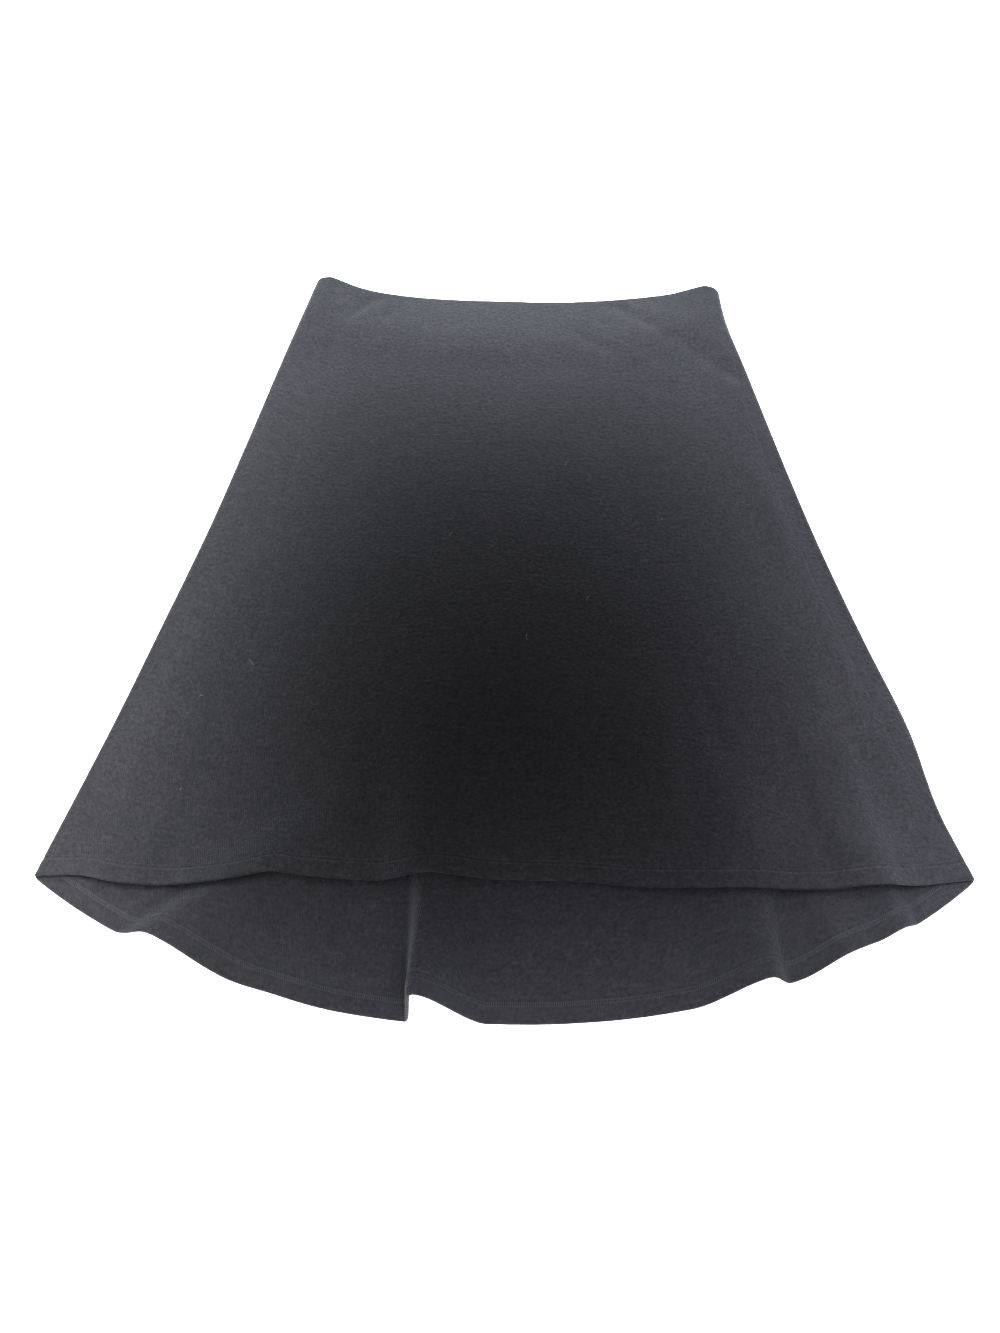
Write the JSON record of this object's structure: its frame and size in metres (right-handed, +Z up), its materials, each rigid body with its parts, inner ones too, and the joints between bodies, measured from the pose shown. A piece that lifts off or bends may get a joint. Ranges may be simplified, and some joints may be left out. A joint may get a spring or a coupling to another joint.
{
  "type": "knitted midi skirt",
  "caption": "Pull-on A-line skirt laid flat: front and back panels in stable jersey, an elasticated waistband inside the waist, and a hem cut deeper at the back than at the front.",
  "frame": {"origin": "on the floor, in the middle of the laid outline's box", "axes": "+Z up; the skirt lies on its back with the front panel uppermost, its waist towards +Y and its hem towards -Y; +X is to the right seen from the hem"},
  "size_m": [0.6622, 0.7141, 0.0284],
  "materials": {
    "jersey": "matt double-knit jersey, black",
    "waistband": "matt elasticated jersey, black"
  },
  "bodies": {
    "root": {"front_panel": "jersey", "back_panel": "jersey", "front_waistband": "waistband", "back_waistband": "waistband"}
  },
  "joints": []
}
